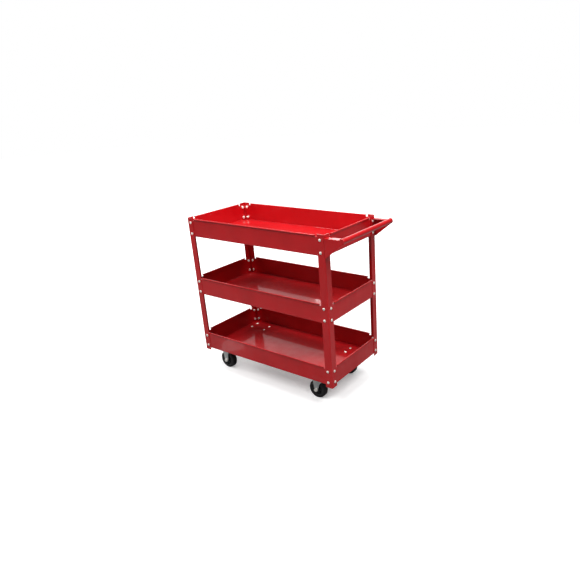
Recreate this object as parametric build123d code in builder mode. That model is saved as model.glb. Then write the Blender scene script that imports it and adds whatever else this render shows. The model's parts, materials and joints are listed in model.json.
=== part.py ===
from build123d import *
from math import asin, atan2, cos, hypot, sin
import os

# A three-tray steel service cart on four casters, in millimetres.
# +X points to the handle end, +Z up, and the cart is symmetric about the XZ plane.
# The origin is on the floor, under the centre of the cart's overall box.
# Left is -Y and right is +Y, for a person who pushes the cart by its handle.

# ---- driving dimensions ---------------------------------------------------

frame_length = 680.0        # outside the posts, along X
frame_depth = 330.0         # outside the posts, along Y
caster_height = 104.0       # floor to the underside of the bottom tray
tray_pitch = 250.0          # from one tray to the next
tray_height = 75.0          # underside to the top of the rolled lip

post_sheet = 1.5
post_flange = 30.0
post_bend = 4.0             # outside radius of the post's corner
post_above_lip = 2.0
post_below_tray = 9.0

tray_sheet = 1.2
tray_corner = 6.0           # outside radius of the tray's upright corners
tray_floor_bend = 3.0
corner_wall_drop = 8.0      # how far the wall at the corners is below the lip
lip_roll = 5.6              # outside diameter of the rolled lip
lip_arc = 235.0             # how far round the lip is rolled, in degrees
lip_end_inset = 38.0        # from the outside of the frame to the end of a lip

screw_inset = 18.0          # from the post's outside corner to a screw
screw_rows = (12.5, 57.5)   # above a tray's underside
screw_radius = 3.0
screw_hole_radius = 3.2
head_radius = 5.2
head_height = 3.4
head_rim = 1.3
recess_length = 5.0
recess_width = 1.2
recess_depth = 1.5
nut_flats = 10.0
nut_height = 5.0
nut_bore_radius = 3.1
nut_edge = 0.5              # chamfer round a nut's outer hexagon
screw_tip_edge = 0.6
thread_beyond_nut = 1.5

handle_reach = 78.0         # post face to the outermost line of the grip
grip_diameter = 19.0
grip_wall = 1.5
grip_below_lip = 15.0       # lip top down to the grip's axis
wing_sheet = 1.5
wing_top_below_lip = 9.5
wing_foot_below_lip = 79.0  # lip top down to the wing's lowest corner
wing_top_flange = 21.0
wing_post_flange = 29.0
wing_bend = 1.2
wing_toe = 3.0              # flat stretch at the wing's lowest corner
wing_grip_gap = 0.4

caster_spread = 530.0       # between caster plates, along X
caster_track = 216.0        # between caster plates, along Y
plate_length = 95.0
plate_width = 60.0
plate_thickness = 3.0
plate_corner = 8.0
plate_holes_x = 75.0
plate_holes_y = 38.0
caster_trail = 35.0         # swivel axis to wheel axle

tyre_radius = 37.5
tyre_width = 24.0
tyre_shoulder = 4.5
rim_radius = 28.0
rim_inner_radius = 24.0
rim_width = 21.0
web_width = 7.0
boss_radius = 12.0
boss_width = 28.0
hub_ribs = 6
rib_width = 3.0
sleeve_radius = 6.0
sleeve_bore_radius = 4.05
running_gap = 0.05          # radial, between a turning bore and its shaft
axle_radius = 4.0
axle_hole_radius = 4.1
axle_head_flats = 13.0
axle_head_height = 5.3
axle_nut_height = 6.5
axle_edge = 0.6             # chamfer on the axle's head, tip and nut

fork_sheet = 2.5
fork_gap = 30.0             # between the fork's legs
fork_foot_radius = 8.0      # rounded end of a leg, about the axle
crown_height = 87.0         # floor to the top of a swivel fork's crown
crown_thickness = 3.0
crown_radius = 24.0
crown_back = 48.0           # swivel axis to the crown's trailing edge
leg_root = 17.0             # how far a leg runs past the swivel axis
leg_back_rise = 28.0        # axle line up to where a leg's trailing edge turns upright
leg_front_rise = 20.0       # axle line up to the foot of a leg's curved front edge
leg_front_foot = 13.0       # axle forward to the foot of that edge
leg_curve = (23.0, 35.0)    # a point the curved edge passes, forward and up from the axle
rigid_leg_half_width = 21.0
ball_radius = 3.0
ball_circle_radius = 17.0
ball_count = 14
ball_gap = 0.3              # between the balls and the race above them
race_radius = 24.0
race_skirt = 2.4
race_skirt_gap = 1.0
kingpin_radius = 5.0
kingpin_head_radius = 10.0
kingpin_head_height = 5.0
kingpin_head_round = 3.0
kingpin_head_gap = 0.3

# ---- places worked out from them ------------------------------------------

frame_x = (head_height - handle_reach) / 2
rear_face = frame_x + frame_length / 2
undersides = {
    "bottom": caster_height,
    "middle": caster_height + tray_pitch,
    "top": caster_height + 2 * tray_pitch,
}
lip_top = undersides["top"] + tray_height
post_bottom = caster_height - post_below_tray
post_top = lip_top + post_above_lip
tray_length = frame_length - 2 * post_sheet
tray_depth = frame_depth - 2 * post_sheet
corner_wall_height = tray_height - corner_wall_drop
sides = {"left": -1, "right": 1}
ends = {"front": -1, "rear": 1}
wall_stack = post_sheet + tray_sheet
grip_x = rear_face + handle_reach - grip_diameter / 2
grip_z = lip_top - grip_below_lip
plate_bottom = caster_height - plate_thickness
fork_outside = fork_gap / 2 + fork_sheet
axle_height = tyre_radius


def save(part, name):
    """Label a finished piece and write it as its own STEP file."""
    part.label = name
    export_step(part, f"parts/{name}.step")


def corner_screws(end, side, underside, faces="xy"):
    """Planes on the outside of one post, one for each screw, with Z pointing out."""
    corner_x = frame_x + end * frame_length / 2
    corner_y = side * frame_depth / 2
    planes = []
    for row in screw_rows:
        height = underside + row
        on_side = (corner_x - end * screw_inset, corner_y, height)
        on_end = (corner_x, corner_y - side * screw_inset, height)
        if "y" in faces:
            planes.append(Plane(origin=on_side, x_dir=(0, 0, 1), z_dir=(0, side, 0)))
        if "x" in faces:
            planes.append(Plane(origin=on_end, x_dir=(0, 0, 1), z_dir=(end, 0, 0)))
    return planes


def tray_screws(underside, handle_faces=True):
    """Screw planes of one tray, with or without the end faces that carry the handle."""
    planes = []
    for end in ends.values():
        faces = "xy" if handle_faces or end < 0 else "y"
        for side in sides.values():
            planes += corner_screws(end, side, underside, faces)
    return planes


def handle_screws():
    """Planes of the screws that hold the handle, on the outside of the posts."""
    planes = []
    for side in sides.values():
        planes += corner_screws(1, side, undersides["top"], "x")
    return planes


def caster_centre(end, side):
    """The middle of a caster's plate."""
    return (frame_x + end * caster_spread / 2, side * caster_track / 2)


def caster_screws(end, side):
    """Planes on the bottom tray's floor, one for each screw of a caster."""
    x, y = caster_centre(end, side)
    floor = caster_height + tray_sheet
    planes = []
    for step_x in (-plate_holes_x / 2, plate_holes_x / 2):
        for step_y in (-plate_holes_y / 2, plate_holes_y / 2):
            planes.append(Plane(origin=(x + step_x, y + step_y, floor), z_dir=(0, 0, 1)))
    return planes


# ---- fasteners ------------------------------------------------------------


def make_screw(clamped):
    """A pan-head screw with a cross recess. Its head sits on Z = 0."""
    length = clamped + nut_height + thread_beyond_nut
    with BuildPart() as screw:
        with BuildSketch(Plane.XZ):
            with BuildLine():
                Polyline((0, head_height), (0, 0), (head_radius, 0), (head_radius, head_rim))
                TangentArc((0, head_height), (head_radius, head_rim), tangent=(1, 0))
            make_face()
        revolve(axis=Axis.Z)
        with BuildSketch(Plane.XY):
            Circle(screw_radius)
        extrude(amount=-length)
        with BuildSketch(Plane.XY.offset(head_height - recess_depth)):
            Rectangle(recess_length, recess_width)
            Rectangle(recess_width, recess_length)
        extrude(amount=head_height, mode=Mode.SUBTRACT)
        chamfer(screw.edges().group_by(Axis.Z)[0], screw_tip_edge)
    return screw.part


def make_nut(flats, height, bore_radius):
    """A hexagon nut that hangs below Z = 0."""
    with BuildPart() as nut:
        with BuildSketch(Plane.XY.offset(-height)):
            RegularPolygon(flats / 2, 6, major_radius=False)
            Circle(bore_radius, mode=Mode.SUBTRACT)
        extrude(amount=height)
        outline = nut.edges().filter_by(GeomType.LINE).group_by(Axis.Z)[0]
        chamfer(outline, nut_edge)
    return nut.part


def save_group(piece, planes, name):
    """Identical fasteners in one node, one separate solid on each plane."""
    with BuildPart() as group:
        with Locations(*planes):
            add(piece)
    save(group.part, name)


# ---- frame posts ----------------------------------------------------------


def make_post(end, side):
    """An upright of angle section, drilled for every tray screw."""
    corner_x = frame_x + end * frame_length / 2
    corner_y = side * frame_depth / 2
    with BuildPart() as post:
        with BuildSketch(Plane.XY.offset(post_bottom)) as angle:
            with Locations((corner_x - end * post_flange / 2, corner_y - side * post_flange / 2)):
                Rectangle(post_flange, post_flange)
            outer_corner = (corner_x, corner_y, 0)
            fillet(angle.vertices().sort_by_distance(outer_corner)[0], post_bend)
            inset = post_sheet + post_flange / 2
            with Locations((corner_x - end * inset, corner_y - side * inset)):
                Rectangle(post_flange, post_flange, mode=Mode.SUBTRACT)
            inner_corner = (corner_x - end * post_sheet, corner_y - side * post_sheet, 0)
            fillet(angle.vertices().sort_by_distance(inner_corner)[0], post_bend - post_sheet)
        extrude(amount=post_top - post_bottom)
        for underside in undersides.values():
            with Locations(*corner_screws(end, side, underside)):
                Hole(screw_hole_radius, depth=2 * post_sheet)
    return post.part


# ---- trays ----------------------------------------------------------------


def make_tray(underside, floor_holes):
    """One pressed sheet: floor, four walls and an outward rolled lip on each wall."""
    roll_radius = lip_roll / 2
    roll_line = roll_radius - tray_sheet / 2
    roll_height = tray_height - roll_radius
    walls = [
        (Vector(1, 0, 0), tray_length / 2, frame_depth),
        (Vector(-1, 0, 0), tray_length / 2, frame_depth),
        (Vector(0, 1, 0), tray_depth / 2, frame_length),
        (Vector(0, -1, 0), tray_depth / 2, frame_length),
    ]
    with BuildPart() as tray:
        with BuildSketch(Plane.XY.offset(underside)):
            with Locations((frame_x, 0)):
                RectangleRounded(tray_length, tray_depth, tray_corner)
        extrude(amount=corner_wall_height)
        fillet(tray.edges().group_by(Axis.Z)[0], tray_floor_bend)
        offset(amount=-tray_sheet, openings=tray.faces().sort_by(Axis.Z)[-1])
        for outward, distance, run in walls:
            wall_foot = Vector(frame_x, 0, underside) + outward * distance
            across = outward.cross(Vector(0, 0, 1))
            with BuildSketch(Plane(origin=wall_foot, x_dir=outward, z_dir=across)):
                with BuildLine():
                    rise = Line(
                        (-tray_sheet / 2, corner_wall_height - tray_sheet),
                        (-tray_sheet / 2, roll_height),
                    )
                    CenterArc(rise @ 1 + Vector(roll_line, 0), roll_line, 180, -lip_arc)
                trace(line_width=tray_sheet)
            extrude(amount=run / 2 - lip_end_inset, both=True)
        with Locations(*tray_screws(underside)):
            Hole(screw_hole_radius, depth=2 * wall_stack)
        if floor_holes:
            with Locations(*floor_holes):
                Hole(screw_hole_radius, depth=2 * tray_sheet)
    return tray.part


# ---- handle ---------------------------------------------------------------


def make_wing(side):
    """A triangular side sheet with one flange on the post and one along its top."""
    outside = side * frame_depth / 2
    foot_z = lip_top - wing_foot_below_lip
    top_z = lip_top - wing_top_below_lip
    nose = grip_diameter / 2
    rise = grip_z - foot_z
    toe_x = rear_face + wing_toe
    run = grip_x - toe_x
    slope = atan2(rise, run) - asin(nose / hypot(run, rise))
    touch = (grip_x + nose * sin(slope), grip_z - nose * cos(slope))
    side_face = Plane(origin=(0, outside, 0), x_dir=(1, 0, 0), z_dir=(0, -1, 0))
    inward = wing_sheet if side < 0 else -wing_sheet
    flange_end = grip_x - nose - wing_grip_gap
    with BuildPart() as wing:
        with BuildSketch(side_face):
            with BuildLine():
                Polyline(
                    (rear_face, foot_z),
                    (rear_face, top_z),
                    (grip_x, top_z),
                    (grip_x, grip_z),
                    touch,
                    (toe_x, foot_z),
                    close=True,
                )
            make_face()
            with Locations((grip_x, grip_z)):
                Circle(nose)
        extrude(amount=-inward)
        with BuildSketch(Plane.XY.offset(top_z)):
            with Locations(((rear_face + flange_end) / 2, outside - side * wing_top_flange / 2)):
                Rectangle(flange_end - rear_face, wing_top_flange)
        extrude(amount=-wing_sheet)
        with BuildSketch(Plane.YZ.offset(rear_face)):
            with Locations((outside - side * wing_post_flange / 2, (foot_z + top_z) / 2)):
                Rectangle(wing_post_flange, top_z - foot_z)
        extrude(amount=wing_sheet)
        outer_edges = wing.faces().sort_by(Axis.Y)[0 if side < 0 else -1].edges()
        fillet(outer_edges.filter_by(Axis.Z), wing_bend)
        outer_edges = wing.faces().sort_by(Axis.Y)[0 if side < 0 else -1].edges()
        fillet(outer_edges.filter_by(Axis.X).sort_by(Axis.Z)[-1], wing_bend)
        with Locations(*corner_screws(1, side, undersides["top"], "x")):
            Hole(screw_hole_radius, depth=2 * wing_sheet)
    return wing.part


def make_grip():
    """The tube between the wings."""
    length = frame_depth - 2 * wing_sheet
    with BuildPart() as grip:
        with BuildSketch(Plane(origin=(grip_x, 0, grip_z), x_dir=(1, 0, 0), z_dir=(0, 1, 0))):
            Circle(grip_diameter / 2)
            Circle(grip_diameter / 2 - grip_wall, mode=Mode.SUBTRACT)
        extrude(amount=length / 2, both=True)
    return grip.part


# ---- casters --------------------------------------------------------------


def axle_plane(x, y):
    """A plane square to the axle, with local X along the cart and local Y up."""
    return Plane(origin=(x, y, axle_height), x_dir=(1, 0, 0), z_dir=(0, -1, 0))


def make_tyre(x, y):
    """A solid rubber tyre with rounded shoulders."""
    with BuildPart() as tyre:
        with BuildSketch(axle_plane(x, y)):
            Circle(tyre_radius)
        extrude(amount=tyre_width / 2, both=True)
        fillet(tyre.edges(), tyre_shoulder)
        with BuildSketch(axle_plane(x, y)):
            Circle(rim_radius)
        extrude(amount=tyre_width / 2, both=True, mode=Mode.SUBTRACT)
    return tyre.part


def make_hub(x, y):
    """A moulded wheel centre: rim, thin web with ribs, and a bored boss."""
    bore = sleeve_radius + running_gap
    with BuildPart() as hub:
        with BuildSketch(axle_plane(x, y)):
            Circle(rim_radius)
            Circle(rim_inner_radius, mode=Mode.SUBTRACT)
        extrude(amount=rim_width / 2, both=True)
        with BuildSketch(axle_plane(x, y)):
            Circle(rim_inner_radius)
        extrude(amount=web_width / 2, both=True)
        with BuildSketch(axle_plane(x, y)):
            with PolarLocations(0, hub_ribs):
                with Locations((rim_inner_radius / 2 + rib_width / 2, 0)):
                    Rectangle(rim_inner_radius, rib_width)
        extrude(amount=rim_width / 2 - rib_width, both=True)
        with BuildSketch(axle_plane(x, y)):
            Circle(boss_radius)
        extrude(amount=boss_width / 2, both=True)
        with BuildSketch(axle_plane(x, y)):
            Circle(bore)
        extrude(amount=boss_width, both=True, mode=Mode.SUBTRACT)
    return hub.part


def make_sleeve(x, y):
    """The steel tube that the wheel turns on, clamped between the fork's legs."""
    with BuildPart() as sleeve:
        with BuildSketch(axle_plane(x, y)):
            Circle(sleeve_radius)
            Circle(sleeve_bore_radius, mode=Mode.SUBTRACT)
        extrude(amount=fork_gap / 2, both=True)
    return sleeve.part


def make_axle(x, y, side):
    """A hexagon bolt through the fork, with its head on the cart's outer side."""
    tail = fork_outside + axle_nut_height + thread_beyond_nut
    start = Plane(
        origin=(x, y + side * fork_outside, axle_height), x_dir=(1, 0, 0), z_dir=(0, side, 0)
    )
    with BuildPart() as axle:
        with BuildSketch(start):
            RegularPolygon(axle_head_flats / 2, 6, major_radius=False)
        extrude(amount=axle_head_height)
        head_top = axle.faces().sort_by(Axis.Y)[-1 if side > 0 else 0]
        chamfer(head_top.edges(), axle_edge)
        with BuildSketch(start):
            Circle(axle_radius)
        extrude(amount=-(fork_outside + tail))
        tip = axle.faces().sort_by(Axis.Y)[0 if side > 0 else -1]
        chamfer(tip.edges(), axle_edge)
    return axle.part


def make_axle_nut(x, y, side):
    """The nut on the axle's inner end."""
    start = Plane(
        origin=(x, y - side * fork_outside, axle_height), x_dir=(1, 0, 0), z_dir=(0, -side, 0)
    )
    with BuildPart() as nut:
        with BuildSketch(start):
            RegularPolygon(axle_head_flats / 2, 6, major_radius=False)
            Circle(axle_hole_radius, mode=Mode.SUBTRACT)
        extrude(amount=axle_nut_height)
        outer_face = nut.faces().sort_by(Axis.Y)[0 if side > 0 else -1]
        chamfer(outer_face.edges().filter_by(GeomType.LINE), axle_edge)
    return nut.part


def plate_blank(x, y):
    """Sketch of a caster's mounting plate with its four screw holes."""
    with Locations((x, y)):
        RectangleRounded(plate_length, plate_width, plate_corner)
        with GridLocations(plate_holes_x, plate_holes_y, 2, 2):
            Circle(screw_hole_radius, mode=Mode.SUBTRACT)


def make_rigid_fork(x, y):
    """A stamped bracket: plate on top and two tapered legs bent down from it."""
    leg_height = plate_bottom - axle_height
    with BuildPart() as fork:
        with BuildSketch(Plane.XY.offset(plate_bottom)):
            plate_blank(x, y)
        extrude(amount=plate_thickness)
        for turn in (-1, 1):
            leg_face = axle_plane(x, y + turn * (fork_gap + fork_sheet) / 2)
            with BuildSketch(leg_face):
                with BuildLine():
                    Polyline(
                        (-fork_foot_radius, 0),
                        (-rigid_leg_half_width, leg_height),
                        (rigid_leg_half_width, leg_height),
                        (fork_foot_radius, 0),
                    )
                    CenterArc((0, 0), fork_foot_radius, 180, 180)
                make_face()
                Circle(axle_hole_radius, mode=Mode.SUBTRACT)
            extrude(amount=fork_sheet / 2, both=True)
    return fork.part


def make_swivel_fork(x, y):
    """A stamped fork: a crown that turns under the plate, and two trailing legs."""
    axle_x = x - caster_trail
    crown_bottom = crown_height - crown_thickness
    top = crown_height - axle_height
    with BuildPart() as fork:
        with BuildSketch(Plane.XY.offset(crown_bottom)):
            with Locations((x, y)):
                Circle(crown_radius)
            with Locations((x - crown_back + (crown_back + leg_root) / 2, y)):
                Rectangle(crown_back + leg_root, 2 * fork_outside)
            with Locations((x, y)):
                Circle(kingpin_radius + running_gap, mode=Mode.SUBTRACT)
        extrude(amount=crown_thickness)
        for turn in (-1, 1):
            leg_face = axle_plane(axle_x, y + turn * (fork_gap + fork_sheet) / 2)
            back = caster_trail - crown_back
            front = caster_trail + leg_root
            with BuildSketch(leg_face):
                with BuildLine():
                    Polyline(
                        (-fork_foot_radius, 0),
                        (back, leg_back_rise),
                        (back, top),
                        (front, top),
                        (front, top - crown_thickness),
                    )
                    ThreePointArc(
                        (front, top - crown_thickness),
                        leg_curve,
                        (leg_front_foot, leg_front_rise),
                    )
                    Line((leg_front_foot, leg_front_rise), (fork_foot_radius, 0))
                    CenterArc((0, 0), fork_foot_radius, 180, 180)
                make_face()
                Circle(axle_hole_radius, mode=Mode.SUBTRACT)
            extrude(amount=fork_sheet / 2, both=True)
    return fork.part


def make_swivel_plate(x, y):
    """The fixed plate of a swivel caster."""
    with BuildPart() as plate:
        with BuildSketch(Plane.XY.offset(plate_bottom)):
            plate_blank(x, y)
            with Locations((x, y)):
                Circle(kingpin_radius, mode=Mode.SUBTRACT)
        extrude(amount=plate_thickness)
    return plate.part


def make_race(x, y):
    """The race above the balls, with a skirt that keeps dirt out."""
    underside = crown_height + 2 * ball_radius + ball_gap
    skirt_bottom = crown_height + race_skirt_gap
    with BuildPart() as race:
        with BuildSketch(Plane.XY.offset(skirt_bottom)):
            with Locations((x, y)):
                Circle(race_radius)
                Circle(kingpin_radius, mode=Mode.SUBTRACT)
        extrude(amount=plate_bottom - skirt_bottom)
        with BuildSketch(Plane.XY.offset(skirt_bottom)):
            with Locations((x, y)):
                Circle(race_radius - race_skirt)
        extrude(amount=underside - skirt_bottom, mode=Mode.SUBTRACT)
    return race.part


def make_balls(x, y):
    """The ring of balls that lies on the fork's crown."""
    with BuildPart() as balls:
        with Locations(Plane(origin=(x, y, crown_height + ball_radius))):
            with PolarLocations(ball_circle_radius, ball_count):
                Sphere(ball_radius)
    return balls.part


def make_kingpin(x, y):
    """The rivet that the fork turns on, with its formed head under the crown."""
    head_top = crown_height - crown_thickness - kingpin_head_gap
    with BuildPart() as kingpin:
        with BuildSketch(Plane.XY.offset(head_top - kingpin_head_height)):
            with Locations((x, y)):
                Circle(kingpin_head_radius)
        extrude(amount=kingpin_head_height)
        lower_rim = kingpin.edges().group_by(Axis.Z)[0]
        fillet(lower_rim, kingpin_head_round)
        with BuildSketch(Plane.XY.offset(head_top)):
            with Locations((x, y)):
                Circle(kingpin_radius)
        extrude(amount=caster_height - head_top)
    return kingpin.part


# ---- build every piece ----------------------------------------------------

os.makedirs("parts", exist_ok=True)

for end_name, end in ends.items():
    for side_name, side in sides.items():
        save(make_post(end, side), f"{end_name}_{side_name}_post")

caster_holes = []
for end in ends.values():
    for side in sides.values():
        caster_holes += caster_screws(end, side)

nut = make_nut(nut_flats, nut_height, nut_bore_radius)
tray_screw = make_screw(wall_stack)
for tray_name, underside in undersides.items():
    floor_holes = caster_holes if tray_name == "bottom" else []
    save(make_tray(underside, floor_holes), f"{tray_name}_tray")
    screw_planes = tray_screws(underside, handle_faces=tray_name != "top")
    save_group(tray_screw, screw_planes, f"{tray_name}_tray_screws")
    nut_planes = [plane.offset(-wall_stack) for plane in screw_planes]
    save_group(nut, nut_planes, f"{tray_name}_tray_nuts")

save(make_grip(), "handle_grip")
for side_name, side in sides.items():
    save(make_wing(side), f"handle_{side_name}_wing")
handle_planes = handle_screws()
handle_seats = [plane.offset(wing_sheet) for plane in handle_planes]
save_group(make_screw(wing_sheet + wall_stack), handle_seats, "handle_screws")
save_group(nut, [plane.offset(-wall_stack) for plane in handle_planes], "handle_nuts")

caster_screw = make_screw(tray_sheet + plate_thickness)
save_group(caster_screw, caster_holes, "caster_screws")
under_plate = -(tray_sheet + plate_thickness)
save_group(nut, [plane.offset(under_plate) for plane in caster_holes], "caster_nuts")

for end_name, end in ends.items():
    for side_name, side in sides.items():
        caster = f"{end_name}_{side_name}"
        x, y = caster_centre(end, side)
        swivels = end_name == "rear"
        axle_x = x - caster_trail if swivels else x
        if swivels:
            save(make_swivel_plate(x, y), f"{caster}_plate")
            save(make_race(x, y), f"{caster}_race")
            save(make_kingpin(x, y), f"{caster}_kingpin")
            save(make_balls(x, y), f"{caster}_balls")
            save(make_swivel_fork(x, y), f"{caster}_fork")
        else:
            save(make_rigid_fork(x, y), f"{caster}_fork")
        save(make_axle(axle_x, y, side), f"{caster}_axle")
        save(make_axle_nut(axle_x, y, side), f"{caster}_axle_nut")
        save(make_sleeve(axle_x, y), f"{caster}_sleeve")
        save(make_hub(axle_x, y), f"{caster}_hub")
        save(make_tyre(axle_x, y), f"{caster}_tyre")
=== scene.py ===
import json
import math
import random

import bmesh
import bpy
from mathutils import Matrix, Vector


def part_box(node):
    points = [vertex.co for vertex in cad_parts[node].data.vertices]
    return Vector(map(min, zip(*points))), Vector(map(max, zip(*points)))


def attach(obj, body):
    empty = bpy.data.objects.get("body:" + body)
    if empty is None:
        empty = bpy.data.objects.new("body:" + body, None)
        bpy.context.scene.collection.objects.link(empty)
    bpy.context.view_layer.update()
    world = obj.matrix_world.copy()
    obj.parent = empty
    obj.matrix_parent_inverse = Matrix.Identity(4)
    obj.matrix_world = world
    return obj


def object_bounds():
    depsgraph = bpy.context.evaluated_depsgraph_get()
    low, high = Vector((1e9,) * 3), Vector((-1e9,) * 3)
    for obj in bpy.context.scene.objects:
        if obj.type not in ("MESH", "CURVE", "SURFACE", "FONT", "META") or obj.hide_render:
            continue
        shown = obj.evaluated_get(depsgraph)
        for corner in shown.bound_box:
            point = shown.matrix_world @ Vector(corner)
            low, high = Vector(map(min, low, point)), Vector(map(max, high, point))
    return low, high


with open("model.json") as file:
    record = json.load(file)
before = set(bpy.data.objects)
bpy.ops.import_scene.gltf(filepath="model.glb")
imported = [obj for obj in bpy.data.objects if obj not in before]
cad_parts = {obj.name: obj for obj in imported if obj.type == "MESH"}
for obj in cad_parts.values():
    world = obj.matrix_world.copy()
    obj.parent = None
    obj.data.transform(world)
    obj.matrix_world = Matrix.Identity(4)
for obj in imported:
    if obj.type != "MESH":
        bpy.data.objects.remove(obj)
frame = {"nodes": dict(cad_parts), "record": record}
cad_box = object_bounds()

# A three-tray steel tool cart: looks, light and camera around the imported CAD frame.
# Everything is in metres, in the CAD frame: +X to the handle end, +Z up.

MM = 0.001
random.seed(7)

# ---- materials ------------------------------------------------------------


class Nodes:
    """Short names for the nodes of one procedural material."""

    def __init__(self, name):
        self.material = bpy.data.materials.new(name)
        self.material.use_nodes = True
        self.tree = self.material.node_tree
        self.shader = self.tree.nodes["Principled BSDF"]
        self.coordinates = self.tree.nodes.new("ShaderNodeTexCoord").outputs["Object"]

    def link(self, source, target):
        self.tree.links.new(source, target)

    def stretched(self, scale):
        """Object coordinates stretched by a factor on each axis."""
        mapping = self.tree.nodes.new("ShaderNodeMapping")
        mapping.inputs["Scale"].default_value = scale
        self.link(self.coordinates, mapping.inputs["Vector"])
        return mapping.outputs["Vector"]

    def noise(self, size, detail=3.0, roughness=0.55, vector=None):
        """Noise whose blobs are about size metres across, from 0 to 1."""
        node = self.tree.nodes.new("ShaderNodeTexNoise")
        node.inputs["Scale"].default_value = 1 / size
        node.inputs["Detail"].default_value = detail
        node.inputs["Roughness"].default_value = roughness
        self.link(vector or self.coordinates, node.inputs["Vector"])
        return node.outputs["Fac"]

    def cells(self, size):
        """A random colour for each Voronoi cell; cells are about size metres across."""
        node = self.tree.nodes.new("ShaderNodeTexVoronoi")
        node.inputs["Scale"].default_value = 1 / size
        self.link(self.coordinates, node.inputs["Vector"])
        return node.outputs["Color"]

    def ramp(self, value, stops):
        """A smooth colour ramp; stops are (position, colour or grey)."""
        node = self.tree.nodes.new("ShaderNodeValToRGB")
        node.color_ramp.interpolation = "EASE"
        elements = node.color_ramp.elements
        while len(elements) < len(stops):
            elements.new(0.5)
        for element, (position, colour) in zip(elements, stops):
            element.position = position
            grey = isinstance(colour, (int, float))
            element.color = (colour, colour, colour, 1) if grey else (*colour, 1)
        self.link(value, node.inputs["Fac"])
        return node.outputs["Color"]

    def remap(self, value, low, high, start=0.0, end=1.0):
        """value from start..end, carried to low..high."""
        node = self.tree.nodes.new("ShaderNodeMapRange")
        node.inputs["From Min"].default_value = start
        node.inputs["From Max"].default_value = end
        node.inputs["To Min"].default_value = low
        node.inputs["To Max"].default_value = high
        self.link(value, node.inputs["Value"])
        return node.outputs["Result"]

    def blend(self, factor, a, b, mode="MIX"):
        """Mix two colours; each may be an output or a colour."""
        node = self.tree.nodes.new("ShaderNodeMix")
        node.data_type = "RGBA"
        node.blend_type = mode
        sockets = {"Factor": node.inputs[0], "A": node.inputs[6], "B": node.inputs[7]}
        for key, value in (("Factor", factor), ("A", a), ("B", b)):
            if isinstance(value, (int, float)):
                sockets[key].default_value = value
            elif isinstance(value, tuple):
                sockets[key].default_value = (*value, 1)
            else:
                self.link(value, sockets[key])
        return node.outputs[2]

    def bump(self, height, depth, strength=1.0, under=None):
        """A bump depth metres high, over another bump if one is given."""
        node = self.tree.nodes.new("ShaderNodeBump")
        node.inputs["Strength"].default_value = strength
        node.inputs["Distance"].default_value = depth
        self.link(height, node.inputs["Height"])
        if under is not None:
            self.link(under, node.inputs["Normal"])
        return node.outputs["Normal"]

    def set(self, **sockets):
        """Set or link the shader's sockets; underscores stand for spaces."""
        for name, value in sockets.items():
            socket = self.shader.inputs[name.replace("_", " ")]
            if isinstance(value, (int, float)):
                socket.default_value = value
            elif isinstance(value, tuple):
                socket.default_value = (*value, 1)
            else:
                self.link(value, socket)
        return self.material


# Positions on a noise from 0 to 1 between which a tone or a roughness runs.
BROAD = (0.30, 0.70)
SMEAR_SPAN = (0.35, 0.75)
SCRATCH_SPAN = (0.30, 0.75)

ENAMEL_TONES = ((0.470, 0.0020, 0.005), (0.540, 0.0028, 0.0068))
ENAMEL_DUST = (0.44, 0.14, 0.13)
ENAMEL_DUST_SHARE = 0.22
ENAMEL_ROUGHNESS = (0.34, 0.56)
ENAMEL_COAT = (0.85, 0.60)          # thinner where the sheet is smeared
ENAMEL_COAT_ROUGHNESS = 0.07
ENAMEL_IOR = 1.44
ENAMEL_SPECULAR = 0.3
ENAMEL_WAVE = (0.09, 0.35 * MM)     # width and height of the sheet's waves
ENAMEL_PEEL = (0.0035, 0.012 * MM)  # width and height of the orange peel

BOLT_TONES = ((0.93, 0.90, 0.86), (0.98, 0.95, 0.90), (0.95, 0.88, 0.78))
BOLT_TONE_STOPS = (0.3, 0.55, 0.8)
BOLT_METALLIC = 0.7
BOLT_ROUGHNESS = (0.56, 0.72)
BOLT_SCRATCH = 0.02 * MM

BRACKET_TONES = (0.66, 0.80)
BRACKET_TINT = (0.98, 1.0, 0.99)
SPANGLE_TONES = (0.35, 0.65)
SPANGLE_SHARE = 0.35
BRACKET_ROUGHNESS = (0.38, 0.58)
BRACKET_GRAIN = 0.02 * MM

BEARING_TONES = ((0.50, 0.50, 0.50), (0.68, 0.68, 0.69))
BEARING_ROUGHNESS = (0.12, 0.30)
BEARING_GRAIN = 0.008 * MM

HUB_TONES = ((0.022, 0.023, 0.024), (0.034, 0.035, 0.036))
HUB_ROUGHNESS = (0.38, 0.55)
HUB_GRAIN = 0.03 * MM

TYRE_COLOUR = (0.010, 0.010, 0.011)
TYRE_DUST = (0.055, 0.052, 0.048)
TYRE_DUST_SHARE = 0.35
TYRE_ROUGHNESS = (0.55, 0.80)
TYRE_GRAIN = 0.05 * MM


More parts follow.
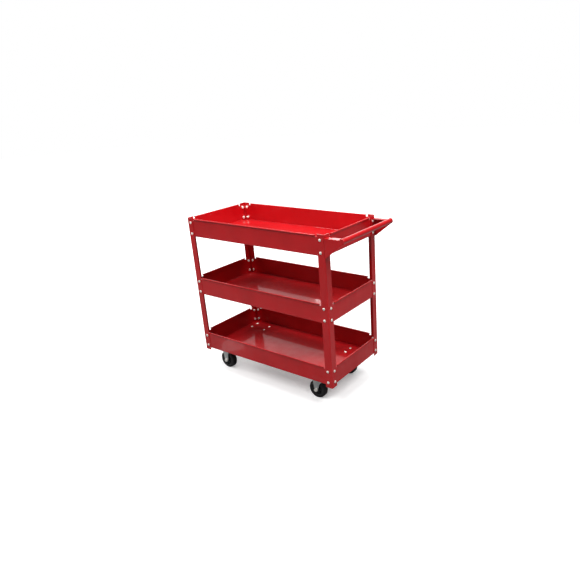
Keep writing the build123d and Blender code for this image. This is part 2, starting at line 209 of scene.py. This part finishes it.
def red_enamel():
    """Glossy baked enamel on pressed sheet: faint waves, orange peel, smears and dust."""
    n = Nodes("red_enamel")
    colour = n.ramp(n.noise(0.11, detail=2), tuple(zip(BROAD, ENAMEL_TONES)))
    speck = n.ramp(n.noise(0.0022, detail=4, roughness=0.7), [(0.70, 0.0), (0.80, 1.0)])
    patch = n.ramp(n.noise(0.06, detail=4), [(0.52, 0.0), (0.72, 1.0)])
    dust = n.blend(1.0, speck, patch, "MULTIPLY")
    colour = n.blend(n.remap(dust, 0.0, ENAMEL_DUST_SHARE), colour, ENAMEL_DUST)
    smear = n.noise(0.035, detail=6, roughness=0.65, vector=n.stretched((1.0, 1.0, 0.35)))
    wave_size, wave_height = ENAMEL_WAVE
    peel_size, peel_height = ENAMEL_PEEL
    waves = n.bump(n.noise(wave_size, detail=1), wave_height)
    peel = n.bump(n.noise(peel_size, detail=2), peel_height, under=waves)
    return n.set(
        Base_Color=colour,
        Roughness=n.remap(smear, *ENAMEL_ROUGHNESS, *SMEAR_SPAN),
        Normal=peel,
        IOR=ENAMEL_IOR,
        Specular_IOR_Level=ENAMEL_SPECULAR,
        Coat_Weight=n.remap(smear, *ENAMEL_COAT, *SMEAR_SPAN),
        Coat_Roughness=ENAMEL_COAT_ROUGHNESS,
        Coat_Normal=peel,
    )


def bright_zinc():
    """Plated fasteners: bright zinc with a warm cast in places and fine scratches."""
    n = Nodes("bright_zinc")
    colour = n.ramp(n.noise(0.006), tuple(zip(BOLT_TONE_STOPS, BOLT_TONES)))
    roughness = n.remap(n.noise(0.002, detail=5), *BOLT_ROUGHNESS, *SCRATCH_SPAN)
    scratches = n.noise(0.0009, vector=n.stretched((1.0, 6.0, 1.0)))
    return n.set(
        Base_Color=colour,
        Metallic=BOLT_METALLIC,
        Roughness=roughness,
        Normal=n.bump(scratches, BOLT_SCRATCH, strength=0.6),
    )


def caster_zinc():
    """Stamped caster brackets: dull zinc with soft spangle and rolled grain."""
    n = Nodes("caster_zinc")
    spangle = n.ramp(n.cells(0.006), tuple(zip((0.2, 0.8), SPANGLE_TONES)))
    grain = n.noise(0.0016, detail=4, vector=n.stretched((1.0, 1.0, 0.12)))
    tone = n.ramp(n.noise(0.02), tuple(zip(BROAD, BRACKET_TONES)))
    tone = n.blend(SPANGLE_SHARE, tone, spangle, "SOFT_LIGHT")
    return n.set(
        Base_Color=n.blend(1.0, tone, BRACKET_TINT, "MULTIPLY"),
        Metallic=1.0,
        Roughness=n.remap(grain, *BRACKET_ROUGHNESS, *BROAD),
        Normal=n.bump(grain, BRACKET_GRAIN, strength=0.7),
    )


def bearing_steel():
    """Ground steel with fine rings of light oil."""
    n = Nodes("bearing_steel")
    film = n.noise(0.004)
    grain = n.noise(0.0006, detail=2, vector=n.stretched((1.0, 0.1, 1.0)))
    return n.set(
        Base_Color=n.ramp(film, tuple(zip(BROAD, BEARING_TONES))),
        Metallic=1.0,
        Roughness=n.remap(film, *BEARING_ROUGHNESS),
        Normal=n.bump(grain, BEARING_GRAIN, strength=0.5),
    )


def hub_plastic():
    """Moulded black plastic with a fine spark-eroded grain."""
    n = Nodes("hub_plastic")
    tone = n.noise(0.012)
    grain = n.noise(0.0007, roughness=0.7)
    return n.set(
        Base_Color=n.ramp(tone, tuple(zip(BROAD, HUB_TONES))),
        Roughness=n.remap(tone, *HUB_ROUGHNESS),
        Normal=n.bump(grain, HUB_GRAIN, strength=0.6),
    )


def tyre_rubber():
    """Black rubber, a little dusty, with a dull skin."""
    n = Nodes("tyre_rubber")
    dust = n.ramp(n.noise(0.009, detail=5, roughness=0.65), [(0.45, 0.0), (0.8, 1.0)])
    grain = n.noise(0.0011, detail=4, roughness=0.7)
    return n.set(
        Base_Color=n.blend(n.remap(dust, 0.0, TYRE_DUST_SHARE), TYRE_COLOUR, TYRE_DUST),
        Roughness=n.remap(dust, *TYRE_ROUGHNESS),
        Normal=n.bump(grain, TYRE_GRAIN, strength=0.6),
    )


MATERIALS = {
    "red_enamel": red_enamel(),
    "bright_zinc": bright_zinc(),
    "caster_zinc": caster_zinc(),
    "bearing_steel": bearing_steel(),
    "hub_plastic": hub_plastic(),
    "tyre_rubber": tyre_rubber(),
}

for subpart in frame["record"]["subparts"]:
    node = frame["nodes"][subpart["node"]]
    node.data.materials.clear()
    node.data.materials.append(MATERIALS[subpart["material_slot"]])

# ---- weld beads -----------------------------------------------------------

BEAD_RADIUS = 1.3 * MM
BEAD_RIPPLES = 46
BEAD_RIPPLE = 0.16          # how much a ripple swells the bead, as a share of its radius
BEAD_WANDER = 0.04          # how unevenly it was laid, as a share of its radius
BEAD_RING_STEPS = 276
BEAD_SECTION_STEPS = 10


def make_bead(name, centre, ring_radius):
    """A rippled weld bead round a tube along Y, cut flush with the cart's rear end."""
    shape = bmesh.new()
    rings = []
    for i in range(BEAD_RING_STEPS):
        turn = math.tau * i / BEAD_RING_STEPS
        outward = Vector((math.cos(turn), 0, math.sin(turn)))
        wander = random.uniform(-BEAD_WANDER, BEAD_WANDER)
        swell = 1 + BEAD_RIPPLE * math.sin(BEAD_RIPPLES * turn) + wander
        ring = []
        for j in range(BEAD_SECTION_STEPS):
            angle = math.tau * j / BEAD_SECTION_STEPS
            along = Vector((0, math.cos(angle), 0)) * BEAD_RADIUS * swell
            up = outward * (ring_radius + math.sin(angle) * BEAD_RADIUS * swell)
            point = Vector(centre) + along + up
            point.x = min(point.x, cad_box[1].x)
            ring.append(shape.verts.new(point))
        rings.append(ring)
    for i, ring in enumerate(rings):
        following = rings[(i + 1) % len(rings)]
        for j in range(BEAD_SECTION_STEPS):
            k = (j + 1) % BEAD_SECTION_STEPS
            shape.faces.new((ring[j], ring[k], following[k], following[j]))
    bmesh.ops.recalc_face_normals(shape, faces=shape.faces)
    mesh = bpy.data.meshes.new(name)
    shape.to_mesh(mesh)
    shape.free()
    for face in mesh.polygons:
        face.use_smooth = True
    bead = bpy.data.objects.new(name, mesh)
    bpy.context.scene.collection.objects.link(bead)
    mesh.materials.append(MATERIALS["red_enamel"])
    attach(bead, "chassis")


grip_low, grip_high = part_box("handle_grip")
grip_middle = (grip_low + grip_high) / 2
grip_radius = (grip_high.z - grip_low.z) / 2
make_bead("weld_left", (grip_middle.x, grip_low.y, grip_middle.z), grip_radius)
make_bead("weld_right", (grip_middle.x, grip_high.y, grip_middle.z), grip_radius)

# ---- floor, backdrop and light --------------------------------------------

FLOOR_RADIUS = 14.0
FLOOR_SEGMENTS = 96
FLOOR_GREY = 0.80           # as the camera sees it
FLOOR_MOTTLE = 0.01         # how far its grey wanders
FLOOR_MOTTLE_SIZE = 0.8
FLOOR_ROUGHNESS = 0.9
FLOOR_GLOW = (0.30, 1.05)   # what keeps the seen floor pale, near the cart and far from it
FLOOR_GLOW_REACH = (0.9, 4.5)
FLOOR_BOUNCE = 0.18         # as the cart sees it
WORLD_FILL = 0.10
WORLD_BACKGROUND = 1.0


def make_floor():
    """A large pale disc under the wheels, darker for bounced light than for the camera."""
    mesh = bpy.data.meshes.new("studio_floor")
    shape = bmesh.new()
    bmesh.ops.create_circle(shape, cap_ends=True, segments=FLOOR_SEGMENTS, radius=FLOOR_RADIUS)
    shape.to_mesh(mesh)
    shape.free()
    floor = bpy.data.objects.new("studio_floor", mesh)
    floor.location.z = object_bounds()[0].z
    bpy.context.scene.collection.objects.link(floor)
    n = Nodes("studio_floor")
    greys = (FLOOR_GREY - FLOOR_MOTTLE, FLOOR_GREY + FLOOR_MOTTLE)
    tone = n.ramp(n.noise(FLOOR_MOTTLE_SIZE, detail=2), tuple(zip(BROAD, greys)))
    distance = n.tree.nodes.new("ShaderNodeVectorMath")
    distance.operation = "LENGTH"
    n.link(n.coordinates, distance.inputs[0])
    glow = n.remap(distance.outputs["Value"], *FLOOR_GLOW, *FLOOR_GLOW_REACH)
    n.set(
        Base_Color=tone,
        Roughness=FLOOR_ROUGHNESS,
        Emission_Color=(1.0, 1.0, 1.0),
        Emission_Strength=glow,
    )
    bounce = n.tree.nodes.new("ShaderNodeBsdfDiffuse")
    bounce.inputs["Color"].default_value = (FLOOR_BOUNCE, FLOOR_BOUNCE, FLOOR_BOUNCE, 1)
    path = n.tree.nodes.new("ShaderNodeLightPath")
    mix = n.tree.nodes.new("ShaderNodeMixShader")
    n.link(path.outputs["Is Camera Ray"], mix.inputs[0])
    n.link(bounce.outputs[0], mix.inputs[1])
    n.link(n.shader.outputs[0], mix.inputs[2])
    clear = n.tree.nodes.new("ShaderNodeBsdfTransparent")
    sides = n.tree.nodes.new("ShaderNodeMixShader")
    n.link(n.tree.nodes.new("ShaderNodeNewGeometry").outputs["Backfacing"], sides.inputs[0])
    n.link(mix.outputs[0], sides.inputs[1])
    n.link(clear.outputs[0], sides.inputs[2])
    n.link(sides.outputs[0], n.tree.nodes["Material Output"].inputs["Surface"])
    mesh.materials.append(n.material)


def make_world():
    """Even white surroundings, dimmer as a light than as the background that shows."""
    world = bpy.data.worlds.new("studio")
    bpy.context.scene.world = world
    world.use_nodes = True
    tree = world.node_tree
    tree.nodes.clear()
    fill = tree.nodes.new("ShaderNodeBackground")
    fill.inputs["Strength"].default_value = WORLD_FILL
    shown = tree.nodes.new("ShaderNodeBackground")
    shown.inputs["Strength"].default_value = WORLD_BACKGROUND
    for background in (fill, shown):
        background.inputs["Color"].default_value = (1, 1, 1, 1)
    path = tree.nodes.new("ShaderNodeLightPath")
    mix = tree.nodes.new("ShaderNodeMixShader")
    output = tree.nodes.new("ShaderNodeOutputWorld")
    tree.links.new(path.outputs["Is Camera Ray"], mix.inputs[0])
    tree.links.new(fill.outputs[0], mix.inputs[1])
    tree.links.new(shown.outputs[0], mix.inputs[2])
    tree.links.new(mix.outputs[0], output.inputs["Surface"])


# Azimuth and elevation in degrees from the centre of the cart, distance, width and depth in
# metres, and radiance. The strips show only in reflections.
BOXES = (
    ("left_box", -92, 53, 4.6, 2.4, 1.9, 10.8),
    ("right_box", 3, 53, 4.6, 2.4, 1.9, 12.4),
    ("overhead_box", 131, 82, 2.6, 1.6, 1.6, 5.2),
    ("back_panel_low", 131, 9, 3.6, 5.0, 1.1, 2.0),
    ("back_panel_high", 131, 29, 3.8, 5.0, 1.5, 0.62),
)
SIDE_PANEL = ("side_panel", 182, 18, 3.2, 2.4, 1.0, 6.5)
STRIPS = (
    ("back_strip", 117.5, 21.7, 3.46, 1.0, 0.16, 3.2),
    ("rim_strip", 128, 72, 3.0, 3.4, 0.5, 14.0),
)

# A soft glint low on the bottom tray, from ovals that shrink about one centre.
CARD_TARGET = (0.098, 0, 0.17)
CARD_PLACE = (214, -14, 0.62)
CARD_SIZE = (0.105, 0.085)
CARD_RADIANCE = 0.5
CARD_SHARES = (1.0, 0.86, 0.72, 0.58, 0.44, 0.30, 0.16)


def softbox(name, azimuth, elevation, distance, width, depth, radiance, target, shape="RECTANGLE"):
    """An area light of a given radiance, seen from the target at these angles in degrees."""
    light = bpy.data.lights.new(name, "AREA")
    light.shape = shape
    light.size = width
    light.size_y = depth
    light.energy = radiance * math.pi * width * depth
    flat = distance * math.cos(math.radians(elevation))
    place = Vector(target) + Vector((
        flat * math.cos(math.radians(azimuth)),
        flat * math.sin(math.radians(azimuth)),
        distance * math.sin(math.radians(elevation)),
    ))
    holder = bpy.data.objects.new(name, light)
    holder.location = place
    holder.rotation_euler = (Vector(target) - place).to_track_quat("-Z", "Y").to_euler()
    holder.visible_camera = False
    bpy.context.scene.collection.objects.link(holder)
    return holder


low, high = cad_box
centre = (low + high) / 2
make_floor()
make_world()
for box in BOXES:
    softbox(*box, centre)
for share in CARD_SHARES:
    width, depth = (side * share for side in CARD_SIZE)
    card = softbox("floor_card", *CARD_PLACE, width, depth, CARD_RADIANCE, CARD_TARGET, "ELLIPSE")
    card.visible_diffuse = False
softbox(*SIDE_PANEL, centre)
for strip in STRIPS:
    softbox(*strip, centre).visible_diffuse = False

# ---- camera ---------------------------------------------------------------

# Metres, degrees, millimetres of lens, and a share of the picture's width.
CAMERA_PLACE = (1.3135, -1.5234, 1.1183)
CAMERA_TURN = (69.498, 3.003, 35.171)
CAMERA_LENS = 32.62
CAMERA_SHIFT = -0.069

camera_data = bpy.data.cameras.new("camera")
camera_data.lens = CAMERA_LENS
camera_data.shift_x = CAMERA_SHIFT
camera = bpy.data.objects.new("camera", camera_data)
camera.location = CAMERA_PLACE
camera.rotation_euler = [math.radians(angle) for angle in CAMERA_TURN]
bpy.context.scene.collection.objects.link(camera)
bpy.context.scene.camera = camera
bpy.context.scene.view_settings.view_transform = "Standard"
